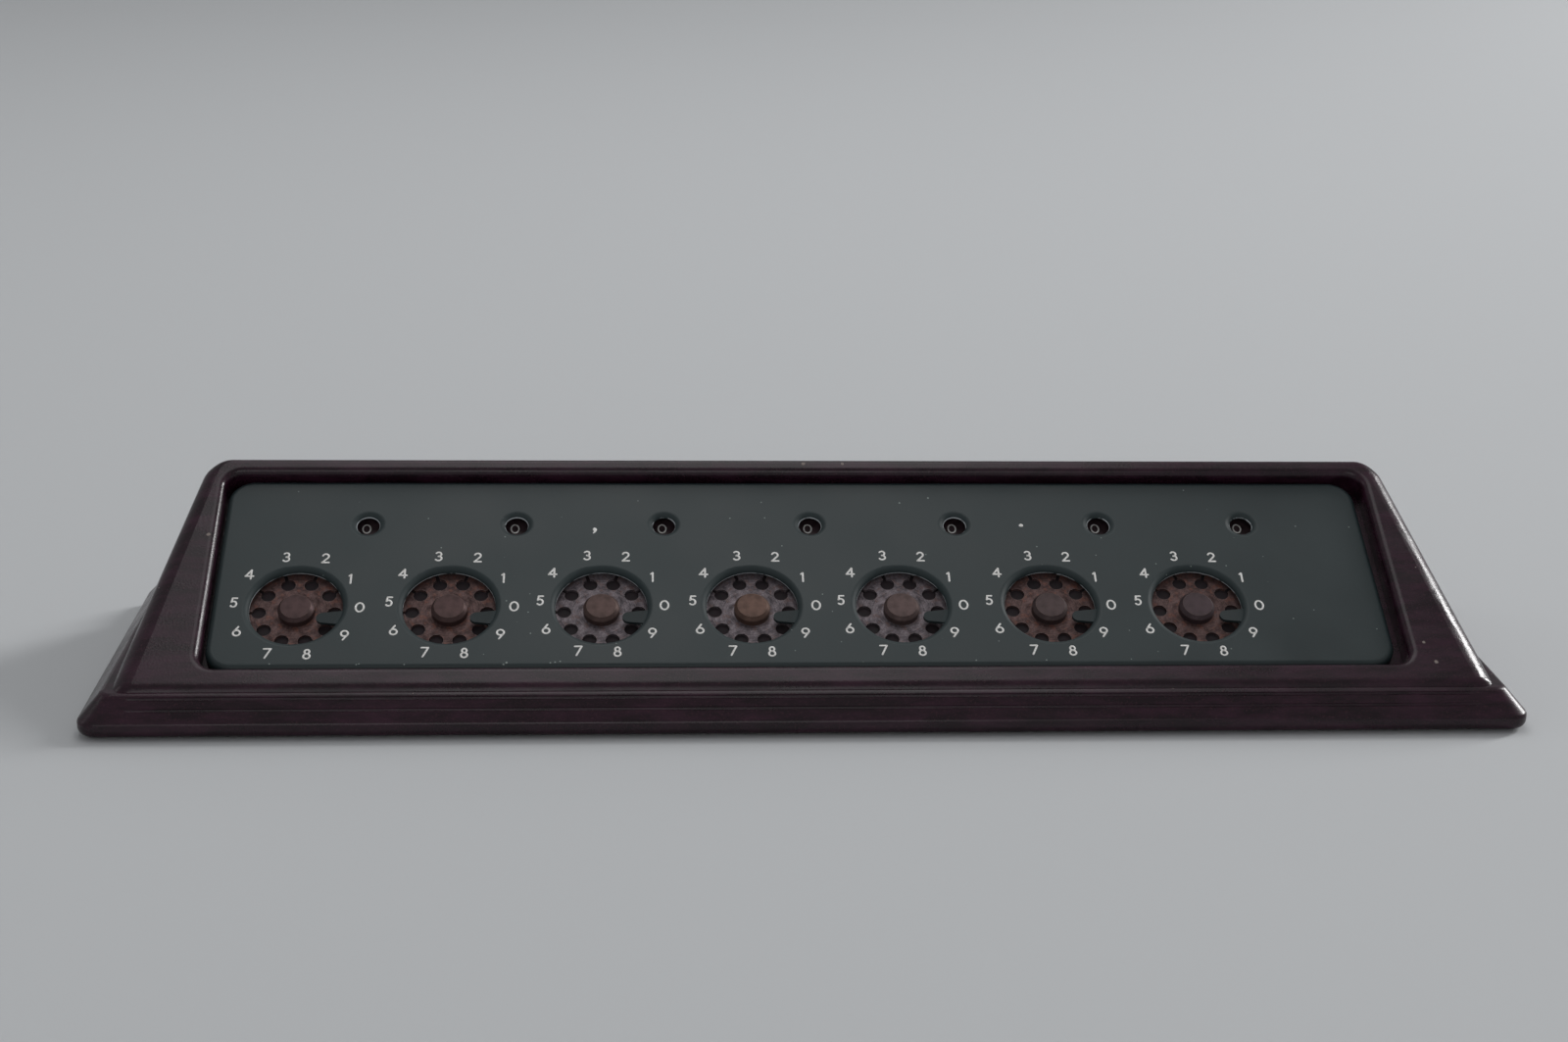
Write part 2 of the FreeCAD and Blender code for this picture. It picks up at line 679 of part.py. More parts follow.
def mechanism_plate():
    """Plate under the wheels that carries every pivot, post and spring."""
    left = dial_x(0) - DIAL_RADIUS - mechanism_margin
    right = numeral_x(dial_count - 1) + GEAR_TIP + mechanism_margin
    front = -(post_front + post_radius + mechanism_margin)
    back = numeral_shift_y + post_back + post_radius + mechanism_margin
    plate = rounded_block(right - left, back - front, mechanism_corner, MECHANISM_BOTTOM, MECHANISM_TOP,
                          (left + right) / 2, (front + back) / 2)
    holes = []
    for index in range(dial_count):
        holes.append((rivet_shank, dial_x(index), 0.0))
        holes.append((rivet_shank, numeral_x(index), numeral_shift_y))
        holes.append((spring_post_radius, numeral_x(index) + spring_post_x,
                      numeral_shift_y + spring_post_y))
    holes.extend((screw_radius + part_gap, x, y) for x, y in post_places())
    cuts = [cylinder(radius + fit_clearance, MECHANISM_BOTTOM, MECHANISM_TOP, x, y)
            for radius, x, y in holes]
    return plate.cut(Part.makeCompound(cuts))


def screw(seat, length):
    """Slotted cheese-head screw pointing up, with its head below the seat."""
    head = cylinder(screw_head, seat - screw_head_height, seat)
    shank = cylinder(screw_radius, seat, seat + length)
    slot = box(-screw_head, screw_head, -screw_slot / 2, screw_slot / 2,
               seat - screw_head_height, seat - screw_head_height / 2)
    return head.fuse(shank).cut(slot)


def plate_bush():
    """Tapped bush fixed under a corner of the face plate, standing on its lug."""
    hole = cylinder(screw_radius + fit_clearance, SHELF_TOP, -plate_thickness - bush_web)
    return cylinder(bush_radius, SHELF_TOP, -plate_thickness).cut(hole)


def bottom_cover():
    """Sheet that closes the case from below, let in between the walls of the plinth."""
    low = UNDERSIDE + cover_recess
    edge = 2 * (plinth_wall + part_gap)
    cover = rounded_block(CASE_LENGTH - edge, CASE_DEPTH - edge, plinth_corner - plinth_wall - part_gap,
                          low, low + cover_thickness)
    holes = [cylinder(screw_radius + part_gap, low, low + cover_thickness, x, y) for x, y in boss_places()]
    return cover.cut(Part.makeCompound(holes))


def felt_feet():
    """Four felt discs under the cover, a little proud of the case."""
    x = CASE_LENGTH / 2 - foot_end_inset
    y = CASE_DEPTH / 2 - foot_side_inset
    return [cylinder(foot_radius, 0.0, UNDERSIDE + cover_recess, sx * x, sy * y)
            for sx in (-1, 1) for sy in (-1, 1)]


def save_set(name, shapes):
    save(name, Part.makeCompound(shapes))


def save_columns():
    """One dial wheel, button, gear, numeral wheel, gear and spring for each column."""
    for index in range(dial_count):
        number = "_" + str(index + 1)
        x = dial_x(index)
        save("dial_wheel" + number, on_panel(moved_to(dial_wheel(), x, 0)))
        save("hub_button" + number, on_panel(moved_to(hub_button(), x, 0)))
        save("drive_gear" + number, on_panel(moved_to(drive_gear(index), x, 0)))
        x = numeral_x(index)
        save("numeral_wheel" + number, on_panel(moved_to(numeral_wheel(), x, numeral_shift_y)))
        save("numeral_gear" + number, on_panel(moved_to(numeral_gear(index), x, numeral_shift_y)))
        save("detent_spring" + number, on_panel(moved_to(detent_spring(index), x, numeral_shift_y)))


def save_frame():
    """Case, plates, pivots, posts and fastenings, which all stay still."""
    columns = range(dial_count)
    dial_pin = pivot(dial_pin_radius, GEAR_WEB - end_play)
    numeral_pin = pivot(numeral_pin_radius, NUMERAL_TOP)
    save("case", case())
    save("face_plate", on_panel(face_plate()))
    save("mechanism_plate", on_panel(mechanism_plate()))
    save("bottom_cover", bottom_cover())
    save_set("felt_feet", felt_feet())
    save_set("dial_pivots", [on_panel(moved_to(dial_pin, dial_x(i), 0)) for i in columns])
    save_set("numeral_pivots", [on_panel(moved_to(numeral_pin, numeral_x(i), numeral_shift_y))
                                for i in columns])
    save_set("spring_posts", [on_panel(moved_to(spring_post(i), numeral_x(i) + spring_post_x,
                                                numeral_shift_y + spring_post_y)) for i in columns])
    post_screw = screw(MECHANISM_BOTTOM, mechanism_thickness + screw_engagement - part_gap)
    lug_screw = screw(SHELF_BOTTOM, shelf_thickness + plate_skirt - plate_thickness - 2 * part_gap)
    cover_screw = screw(UNDERSIDE + cover_recess, cover_thickness + screw_engagement - part_gap)
    save_set("spacer_posts", [on_panel(moved_to(spacer_post(), x, y)) for x, y in post_places()])
    save_set("spacer_screws", [on_panel(moved_to(post_screw, x, y)) for x, y in post_places()])
    save_set("plate_bushes", [on_panel(moved_to(plate_bush(), x, y)) for x, y in lug_places()])
    save_set("plate_screws", [on_panel(moved_to(lug_screw, x, y)) for x, y in lug_places()])
    save_set("cover_screws", [moved_to(cover_screw, x, y) for x, y in boss_places()])


os.makedirs("parts", exist_ok=True)
save_frame()
save_columns()
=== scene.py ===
import json
import math

import bmesh
import bpy
from mathutils import Matrix, Vector


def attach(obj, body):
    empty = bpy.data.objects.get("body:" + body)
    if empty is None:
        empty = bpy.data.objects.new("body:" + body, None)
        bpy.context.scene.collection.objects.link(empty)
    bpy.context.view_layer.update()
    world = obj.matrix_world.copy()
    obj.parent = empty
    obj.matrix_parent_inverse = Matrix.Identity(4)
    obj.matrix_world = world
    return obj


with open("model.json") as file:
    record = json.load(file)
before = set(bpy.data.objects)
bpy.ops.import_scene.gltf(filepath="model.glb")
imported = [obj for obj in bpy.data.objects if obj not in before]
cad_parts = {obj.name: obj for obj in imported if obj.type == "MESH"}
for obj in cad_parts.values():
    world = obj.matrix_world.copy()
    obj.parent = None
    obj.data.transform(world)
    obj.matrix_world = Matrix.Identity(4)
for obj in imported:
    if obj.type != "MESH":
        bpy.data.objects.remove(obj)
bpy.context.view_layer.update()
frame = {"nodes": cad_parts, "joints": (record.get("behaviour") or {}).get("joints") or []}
nodes = frame["nodes"]
joints = {joint["name"]: joint for joint in frame["joints"]}
columns = range(1, 8)

# Case: one moulding of phenolic resin filled with wood flour, a wedge on a reeded foot. It came
# glossy out of a polished mould. Flow of the resin left faint streaks along it, handling has
# dulled the flats, and knocks have taken small pale chips out of its edges.
MM = 0.001

# Socket numbers of a Mix node that mixes colours: its two colours and its result
FIRST, SECOND, MIXED = 6, 7, 2


def linear(colour):
    """Turns an sRGB hex colour, such as "#3a4540", to linear red, green, blue and alpha."""
    parts = [int(colour[i:i + 2], 16) / 255 for i in (1, 3, 5)]
    return [c / 12.92 if c <= 0.04045 else ((c + 0.055) / 1.055) ** 2.4 for c in parts] + [1.0]


def new_material(name, **shader):
    """A material with one Principled shader, whose sockets are given by name."""
    material = bpy.data.materials.new(name)
    material.use_nodes = True
    surface = material.node_tree.nodes["Principled BSDF"]
    for socket, value in shader.items():
        surface.inputs[socket.replace("_", " ")].default_value = value
    return material


def add(material, kind, inputs=None, output=0, **settings):
    """Adds a node, sets or links its inputs, and returns one of its outputs."""
    node = material.node_tree.nodes.new("ShaderNode" + kind)
    for setting, value in settings.items():
        setattr(node, setting, value)
    for socket, value in (inputs or {}).items():
        if isinstance(value, bpy.types.NodeSocket):
            material.node_tree.links.new(value, node.inputs[socket])
        else:
            node.inputs[socket].default_value = value
    return node.outputs[output]


def finish_with(material, **links):
    """Links outputs to the sockets of the material's Principled shader."""
    surface = material.node_tree.nodes["Principled BSDF"]
    for socket, output in links.items():
        material.node_tree.links.new(output, surface.inputs[socket.replace("_", " ")])


def in_mm(material, centre=(0, 0, 0), tilt=0.0):
    """Object coordinates in millimetres, from a centre and turned by a tilt about X."""
    place = add(material, "TexCoord", output="Object")
    return add(material, "Mapping", {"Vector": place, "Location": centre, "Rotation": (tilt, 0, 0),
                                     "Scale": (MM, MM, MM)}, vector_type="TEXTURE")


def marked(material, place, marks):
    """1 inside ragged marks, each given by its middle and its radius in millimetres."""
    ragged = add(material, "TexNoise", {"Vector": place, "Scale": 2.5, "Detail": 2.0})
    mask = 0.0
    for middle, radius in marks:
        away = add(material, "VectorMath", {0: place, 1: middle}, "Value", operation="DISTANCE")
        away = add(material, "Math", {0: ragged, 1: radius, 2: away}, operation="MULTIPLY_ADD")
        inside = add(material, "MapRange", {"Value": away, "From Min": 1.6 * radius,
                                            "From Max": 1.2 * radius})
        mask = add(material, "Math", {0: mask, 1: inside}, operation="MAXIMUM")
    return mask


def specks(material, place, spacing, radius, share):
    """1 in sparse round specks, in that share of cells of that many millimetres."""
    away = add(material, "TexVoronoi", {"Vector": place, "Scale": 1 / spacing})
    near = add(material, "MapRange", {"Value": away, "From Min": radius / spacing,
                                      "From Max": 0.5 * radius / spacing})
    chosen = add(material, "Math", {0: away.node.outputs["Color"], 1: share}, operation="LESS_THAN")
    return add(material, "Math", {0: near, 1: chosen}, operation="MULTIPLY")


def dress(node, material):
    """Gives a CAD node its material."""
    slots = nodes[node].data.materials
    slots.clear()
    slots.append(material)


# Frame of the sloping top, whose origin is the middle dial, on the face of the plate
SIDE = Vector((1, 0, 0))
UP = Vector(joints["dial_4_turn"]["axis"]).normalized()
BACK = UP.cross(SIDE)
TILT = math.atan2(-UP.y, UP.z)


def on_panel(axis_point, node):
    """Point of an axis that lies level with a node's highest point on the sloping top."""
    point = Vector(axis_point)
    level = max(vertex.co.dot(UP) for vertex in nodes[node].data.vertices)
    return point + UP * (level - point.dot(UP))


PANEL = on_panel(joints["dial_4_turn"]["pos_m"], "face_plate")

# Middle, on the sloping top, and radius of each chip in millimetres
CHIPS = [((-132.0, 19.9, 3.0), 0.5), ((-135.9, 34.7, 3.0), 0.4), ((14.3, 43.6, 3.0), 0.5),
         ((24.3, 43.6, 3.0), 0.4), ((161.9, -14.7, 3.0), 0.4), ((163.6, -20.7, 3.0), 0.5)]

# Such resin has an index near 1.6. It is set lower here, because the pale studio is mirrored in
# the case as a grey that the photograph doesn't show.
RESIN_INDEX = 1.43
resin = new_material("phenolic_resin", IOR=RESIN_INDEX)
place = in_mm(resin)
along = add(resin, "Mapping", {"Vector": place, "Scale": (0.3, 1, 1)})
streaks = add(resin, "TexNoise", {"Vector": along, "Scale": 1 / 4, "Detail": 5.0,
                                  "Roughness": 0.65})
flour = add(resin, "TexNoise", {"Vector": place, "Scale": 1 / 0.5, "Detail": 3.0})
smears = add(resin, "TexNoise", {"Vector": along, "Scale": 1 / 9, "Detail": 4.0})
streaky = add(resin, "MapRange", {"Value": streaks, "From Min": 0.4, "From Max": 0.66})
floury = add(resin, "MapRange", {"Value": flour, "From Min": 0.56, "From Max": 0.72,
                                 "To Max": 0.6})
brown = add(resin, "Mix", {0: streaky, FIRST: linear("#1d0b15"), SECOND: linear("#361a2a")},
            MIXED, data_type="RGBA")
brown = add(resin, "Mix", {0: floury, FIRST: brown, SECOND: linear("#452831")},
            MIXED, data_type="RGBA")
chipped = marked(resin, in_mm(resin, PANEL, TILT), CHIPS)
dusty = specks(resin, place, 4.0, 0.22, 0.25)
pale = add(resin, "Math", {0: chipped, 1: dusty}, operation="MAXIMUM")
brown = add(resin, "Mix", {0: pale, FIRST: brown, SECOND: linear("#8d827d")},
            MIXED, data_type="RGBA")
gloss = add(resin, "MapRange", {"Value": smears, "From Min": 0.3, "From Max": 0.7,
                                "To Min": 0.2, "To Max": 0.34})
gloss = add(resin, "Math", {0: gloss, 1: pale}, operation="MAXIMUM")
relief = add(resin, "Math", {0: streaks, 1: flour}, operation="ADD")
wavy = add(resin, "Bump", {"Height": relief, "Distance": 0.03 * MM})
finish_with(resin, Base_Color=brown, Roughness=gloss, Normal=wavy)
dress("case", resin)

# Mechanism: a plated steel plate carries riveted pivots, posts and brass gears of sheet. All of
# it lies under the wheels. The brass is given a dark brown as painted shade, so that only dull
# glints show through the notches.


def old_metal(name, dark, light, size, low, high):
    """Metal in blotches of two colours, dull where dark, with cells of that many millimetres."""
    material = new_material(name, Metallic=1.0)
    place = in_mm(material)
    blotches = add(material, "TexNoise", {"Vector": place, "Scale": 1 / size, "Detail": 4.0,
                                          "Roughness": 0.6})
    worn = add(material, "MapRange", {"Value": blotches, "From Min": 0.35, "From Max": 0.65})
    tone = add(material, "Mix", {0: worn, FIRST: linear(dark), SECOND: linear(light)},
               MIXED, data_type="RGBA")
    rough = add(material, "MapRange", {"Value": worn, "To Min": high, "To Max": low})
    finish_with(material, Base_Color=tone, Roughness=rough)
    return material


plated = old_metal("zinc_plated_steel", "#55565a", "#77787b", 3.0, 0.4, 0.6)
turned = old_metal("bright_turned_steel", "#6d6d70", "#949598", 1.5, 0.25, 0.45)
# Brass: dark brown, as painted shade for what lies under the wheels
shaded_brass = old_metal("shaded_sheet_brass", "#2e2620", "#4e4028", 1.2, 0.45, 0.7)
spring = old_metal("blued_spring_steel", "#3a3d45", "#5c6068", 1.5, 0.3, 0.5)
dress("mechanism_plate", plated)
for name in ("dial_pivots", "numeral_pivots", "spring_posts", "spacer_posts"):
    dress(name, turned)
for name in ("spacer_screws", "plate_screws", "cover_screws"):
    dress(name, plated)
dress("plate_bushes", shaded_brass)
for column in columns:
    dress(f"drive_gear_{column}", shaded_brass)
    dress(f"numeral_gear_{column}", shaded_brass)
    dress(f"detent_spring_{column}", spring)

# Face plate: sheet steel, pressed and rolled down at its edges, sprayed with dark green enamel
# of a low gloss. It has fine orange peel and dust, and the stylus has scratched the front roll. A
# thin pale ring at the bottom of each opening's rolled edge is partly steel bared by the stylus
# and the duster, and partly a painted highlight.
PITCH = 36.5
HALF_ROW = 3.5 * PITCH

# For dials and windows: middle from the dial's axis, radius of the edge, and the depth below the
# plate from which the edge is painted pale, as bared steel and as a painted highlight
OPENINGS = [((0.0, 0.0), 11.1, 1.3), ((15.3, 25.8), 2.8, 0.72)]
SCRATCHES = [((-59.3, -18.0, 0), 0.25), ((-58.6, -17.5, 0), 0.3), ((-48.3, -17.6, 0), 0.2),
             ((-47.2, -17.4, 0), 0.2), ((-46.0, -17.2, 0), 0.2), ((38.35, 32.92, 0), 0.25),
             ((45.72, 34.59, 0), 0.25), ((-9.0, -5.5, 0), 0.2)]

enamel = new_material("green_enamel", IOR=1.5)
place = in_mm(enamel, PANEL, TILT)
peel = add(enamel, "TexNoise", {"Vector": place, "Scale": 1 / 0.7, "Detail": 2.0})
clouds = add(enamel, "TexNoise", {"Vector": place, "Scale": 1 / 28, "Detail": 4.0})
cloudy = add(enamel, "MapRange", {"Value": clouds, "From Min": 0.3, "From Max": 0.7})
green = add(enamel, "Mix", {0: cloudy, FIRST: linear("#1e2b2d"), SECOND: linear("#273436")},
            MIXED, data_type="RGBA")
dusty = specks(enamel, place, 3.0, 0.22, 0.4)
scratched = marked(enamel, place, SCRATCHES)
pale = add(enamel, "Math", {0: dusty, 1: scratched}, operation="MAXIMUM")
green = add(enamel, "Mix", {0: pale, FIRST: green, SECOND: linear("#8f9a95")},
            MIXED, data_type="RGBA")
across = add(enamel, "SeparateXYZ", {0: place})
up_slope = across.node.outputs["Y"]
depth = across.node.outputs["Z"]
bared_steel_and_highlight = 0.0
handled = 0.0
darker_towards_hub = 0.0
for shift, edge, low in OPENINGS:
    beside = add(enamel, "Math", {0: across, 1: shift[0]}, operation="SUBTRACT")
    from_middle = add(enamel, "Math", {0: beside}, operation="ABSOLUTE")
    within = add(enamel, "Math", {0: from_middle, 1: HALF_ROW}, operation="LESS_THAN")
    beside = add(enamel, "Math", {0: beside, 1: PITCH / 2, 2: -PITCH / 2}, operation="WRAP")
    behind = add(enamel, "Math", {0: up_slope, 1: shift[1]}, operation="SUBTRACT")
    spread = add(enamel, "CombineXYZ", {"X": beside, "Y": behind})
    radius = add(enamel, "VectorMath", {0: spread}, "Value", operation="LENGTH")
    away = add(enamel, "Math", {0: radius, 1: edge}, operation="SUBTRACT")
    near = add(enamel, "Math", {0: away, 1: 0.0, 2: 0.35}, operation="COMPARE")
    rolled = add(enamel, "MapRange", {"Value": away, "From Min": 2.0, "From Max": 0.6,
                                      "To Max": 0.2})
    sunk = add(enamel, "Math", {0: depth, 1: -0.02}, operation="LESS_THAN")
    rolled = add(enamel, "Math", {0: rolled, 1: sunk}, operation="MULTIPLY")
    rolled = add(enamel, "Math", {0: rolled, 1: within}, operation="MULTIPLY")
    handled = add(enamel, "Math", {0: handled, 1: rolled}, operation="MAXIMUM")
    # Darker colour on the stop fingers inside each opening, growing towards the hub
    inside = add(enamel, "MapRange", {"Value": away, "From Min": -0.2, "From Max": -0.9,
                                      "To Max": 0.4})
    inside = add(enamel, "Math", {0: inside, 1: within}, operation="MULTIPLY")
    darker_towards_hub = add(enamel, "Math", {0: darker_towards_hub, 1: inside}, operation="MAXIMUM")
    # Pale ring low on each rolled edge: partly bared steel, partly a painted highlight
    deep = add(enamel, "Math", {0: depth, 1: -low}, operation="LESS_THAN")
    both = add(enamel, "Math", {0: near, 1: deep}, operation="MULTIPLY")
    bared_steel_and_highlight = add(enamel, "Math", {0: bared_steel_and_highlight, 1: both}, operation="MAXIMUM")
green = add(enamel, "Mix", {0: darker_towards_hub, FIRST: green, SECOND: linear("#161b1c")},
            MIXED, data_type="RGBA")
# The pale ring is broken up in patches and mixed in as bared steel and painted highlight
patchy = add(enamel, "TexNoise", {"Vector": place, "Scale": 1 / 3.0, "Detail": 3.0})
patchy = add(enamel, "MapRange", {"Value": patchy, "From Min": 0.38, "From Max": 0.5})
bared_steel_and_highlight = add(enamel, "Math", {0: bared_steel_and_highlight, 1: patchy}, operation="MULTIPLY")
green = add(enamel, "Mix", {0: bared_steel_and_highlight, FIRST: green, SECOND: linear("#c3c8cc")},
            MIXED, data_type="RGBA")
dull = add(enamel, "MapRange", {"Value": clouds, "From Min": 0.3, "From Max": 0.7,
                                "To Min": 0.38, "To Max": 0.5})
dull = add(enamel, "Math", {0: dull, 1: handled}, operation="ADD")
orange_peel = add(enamel, "Bump", {"Height": peel, "Distance": 0.012 * MM})
metal = add(enamel, "Math", {0: bared_steel_and_highlight, 1: 0.35}, operation="MULTIPLY")
finish_with(enamel, Base_Color=green, Roughness=dull, Metallic=metal, Normal=orange_peel)
dress("face_plate", enamel)

# Printed figures: thick white enamel in a plain geometric letter with even strokes, stamped on
# the face plate round each dial, with a comma and a decimal point between the windows.


def arc(x, y, across, along, start, end, steps=16):
    """Points of an elliptic arc, with its angles in degrees."""
    turns = [math.radians(start + (end - start) * i / steps) for i in range(steps + 1)]
    return [(x + across * math.cos(t), y + along * math.sin(t)) for t in turns]


# Middle lines of each figure's strokes, in a frame one unit high whose origin is its middle.
FIGURES = [
    [arc(0, 0, 0.36, 0.5, 0, 360, 32)],
    [[(-0.12, 0.37), (0.03, 0.5)], [(0.03, 0.5), (0.03, -0.5)]],
    [arc(0, 0.22, 0.27, 0.28, 160, -38) + [(-0.28, -0.5)], [(-0.28, -0.5), (0.32, -0.5)]],
    [arc(-0.03, 0.25, 0.24, 0.25, 145, -88), arc(-0.03, -0.24, 0.28, 0.26, 88, -148)],
    [[(0.13, -0.5), (0.13, 0.5)], [(0.13, 0.5), (-0.36, -0.2)], [(-0.36, -0.2), (0.34, -0.2)]],
    [[(0.26, 0.5), (-0.13, 0.5)], [(-0.13, 0.5), (-0.2, 0.06)],
     arc(-0.02, -0.18, 0.27, 0.32, 132, -140)],
    [[(0.1, 0.5), (-0.26, -0.04)], arc(0, -0.2, 0.31, 0.3, 0, 360, 32)],
    [[(-0.29, 0.5), (0.31, 0.5)], [(0.31, 0.5), (-0.14, -0.5)]],
    [arc(0, 0.27, 0.21, 0.23, 0, 360, 32), arc(0, -0.23, 0.28, 0.27, 0, 360, 32)],
    [[(-0.1, -0.5), (0.26, 0.04)], arc(0, 0.2, 0.31, 0.3, 0, 360, 32)],
]

# Height of the paint, and how far out the steps of a stroke's round end lie, as a share of its
# half width
FILM = 0.04
ROUND_END = (0.5, 0.87, 0.98)


def painted(name, marks, origin, body, stroke):
    """White enamel in strokes with round ends: (x, y, turn, height, strokes) in millimetres."""
    curve = bpy.data.curves.new(name, "CURVE")
    curve.dimensions = "3D"
    curve.bevel_depth = stroke / 2
    curve.bevel_resolution = 1
    curve.use_fill_caps = True
    for x, y, turn, height, strokes in marks:
        for points in strokes:
            line = [Vector(point[:2]) * height for point in points]
            widths = [point[2] if len(point) > 2 else 1.0 for point in points]
            closed = (line[0] - line[-1]).length < 1e-6
            if closed:
                line.pop()
            else:
                start = (line[0] - line[1]).normalized() * widths[0] * stroke / 2
                end = (line[-1] - line[-2]).normalized() * widths[-1] * stroke / 2
                for reach in ROUND_END:
                    width = math.sqrt(1 - reach * reach)
                    line.insert(0, Vector(points[0][:2]) * height + start * reach)
                    widths.insert(0, width * (points[0][2] if len(points[0]) > 2 else 1.0))
                    line.append(Vector(points[-1][:2]) * height + end * reach)
                    widths.append(width * (points[-1][2] if len(points[-1]) > 2 else 1.0))
            spline = curve.splines.new("POLY")
            spline.points.add(len(line) - 1)
            spline.use_cyclic_u = closed
            for point, flat, width in zip(spline.points, line, widths):
                spot = Matrix.Rotation(turn, 2) @ flat
                point.co = (x + spot.x, y + spot.y, 0, 1)
                point.radius = width
    drawn = bpy.data.objects.new(name + "_strokes", curve)
    bpy.context.scene.collection.objects.link(drawn)
    depsgraph = bpy.context.evaluated_depsgraph_get()
    mesh = bpy.data.meshes.new_from_object(drawn.evaluated_get(depsgraph))
    bpy.data.objects.remove(drawn)
    axes = Matrix((SIDE, BACK, UP)).transposed().to_4x4()
    flatten = Matrix.Diagonal((1, 1, 2 * FILM / stroke, 1))
    mesh.transform(Matrix.Translation(origin) @ axes @ Matrix.Scale(MM, 4) @ flatten)
    mesh.materials.clear()
    mesh.materials.append(white)
    piece = bpy.data.objects.new(name, mesh)
    bpy.context.scene.collection.objects.link(piece)
    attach(piece, body)


white = new_material("white_enamel", IOR=1.5)
place = in_mm(white)
grime = add(white, "TexNoise", {"Vector": place, "Scale": 1 / 0.4, "Detail": 3.0})
grimy = add(white, "MapRange", {"Value": grime, "From Min": 0.35, "From Max": 0.6})
ivory = add(white, "Mix", {0: grimy, FIRST: linear("#e4e1dc"), SECOND: linear("#fdfcfa")},
            MIXED, data_type="RGBA")
matt = add(white, "MapRange", {"Value": grimy, "To Min": 0.7, "To Max": 0.45})
finish_with(white, Base_Color=ivory, Roughness=matt)

FIGURE_HEIGHT = 2.66
RING_RADIUS = 15.3
FIRST_ANGLE = -2.9
STEP = 36.0
DIAL_STROKE = 0.5

# How far the print lies off its place, to the right and up the slope: by figure and by column
FIGURE_SHIFTS = [(-0.16, -0.05), (-0.58, -0.31), (0.26, 0.29), (0.28, 0.18), (-0.09, -0.12),
                 (0.44, -0.03), (-0.34, 0.33), (0.02, -0.38), (-0.11, -0.2), (0.26, 0.28)]
PRINT_SHIFTS = [(0.16, 0.17), (0.44, 0.37), (0.09, 0.6), (0.35, 0.5), (-0.08, 0.53),
                (-0.23, 0.43), (0.03, 0.21)]
for column in columns:
    marks = []
    for figure, strokes in enumerate(FIGURES):
        angle = math.radians(FIRST_ANGLE + STEP * figure)
        beside = FIGURE_SHIFTS[figure][0] + PRINT_SHIFTS[column - 1][0]
        above = FIGURE_SHIFTS[figure][1] + PRINT_SHIFTS[column - 1][1]
        marks.append((RING_RADIUS * math.cos(angle) + beside, RING_RADIUS * math.sin(angle) + above,
                      0.0, FIGURE_HEIGHT, strokes))
    origin = on_panel(joints[f"dial_{column}_turn"]["pos_m"], "face_plate")
    painted(f"dial_figures_{column}", marks, origin, "machine", DIAL_STROKE)
COMMA = [[(0.0, 0.35), (0.12, 0.05, 0.95), (0.02, -0.45, 0.6), (-0.3, -0.9, 0.25)]]
POINT = [[(-0.02, 0.0), (0.02, 0.0)]]
COMMA_PLACE = (-38.39, 23.75)
POINT_PLACE = (68.51, 25.36)
POINT_STROKE = 1.05
painted("comma_and_point", [(*COMMA_PLACE, 0.0, 1.0, COMMA), (*POINT_PLACE, 0.0, 1.0, POINT)],
        PANEL, "machine", POINT_STROKE)

# Numeral wheels: discs of sheet under a dark purplish brown enamel, with white figures round the
# rim. Play in the gears leaves each a little off the middle of its window.
NUMERAL_CIRCLE = 11.7
WHEEL_STROKE = 0.42

# Degrees that play turns each wheel by
WHEEL_PLAY = (4.0, 3.0, 2.0, 1.5, 1.0, 0.5, 0.0)
disc_enamel = new_material("brown_enamel", IOR=1.5)
place = in_mm(disc_enamel)
grime = add(disc_enamel, "TexNoise", {"Vector": place, "Scale": 1 / 1.2, "Detail": 4.0})
grimy = add(disc_enamel, "MapRange", {"Value": grime, "From Min": 0.35, "From Max": 0.65})
plum = add(disc_enamel, "Mix", {0: grimy, FIRST: linear("#2f2226"), SECOND: linear("#46363a")},
           MIXED, data_type="RGBA")
matt = add(disc_enamel, "MapRange", {"Value": grimy, "To Min": 0.4, "To Max": 0.55})
finish_with(disc_enamel, Base_Color=plum, Roughness=matt)
for column in columns:
    dress(f"numeral_wheel_{column}", disc_enamel)
    marks = []
    for figure, strokes in enumerate(FIGURES):
        turn = math.radians(WHEEL_PLAY[column - 1] - STEP * figure)
        marks.append((-NUMERAL_CIRCLE * math.sin(turn), NUMERAL_CIRCLE * math.cos(turn), turn,
                      FIGURE_HEIGHT, strokes))
    origin = on_panel(joints[f"numeral_{column}_turn"]["pos_m"], f"numeral_wheel_{column}")
    painted(f"wheel_figures_{column}", marks, origin, f"numeral_{column}",
            WHEEL_STROKE)

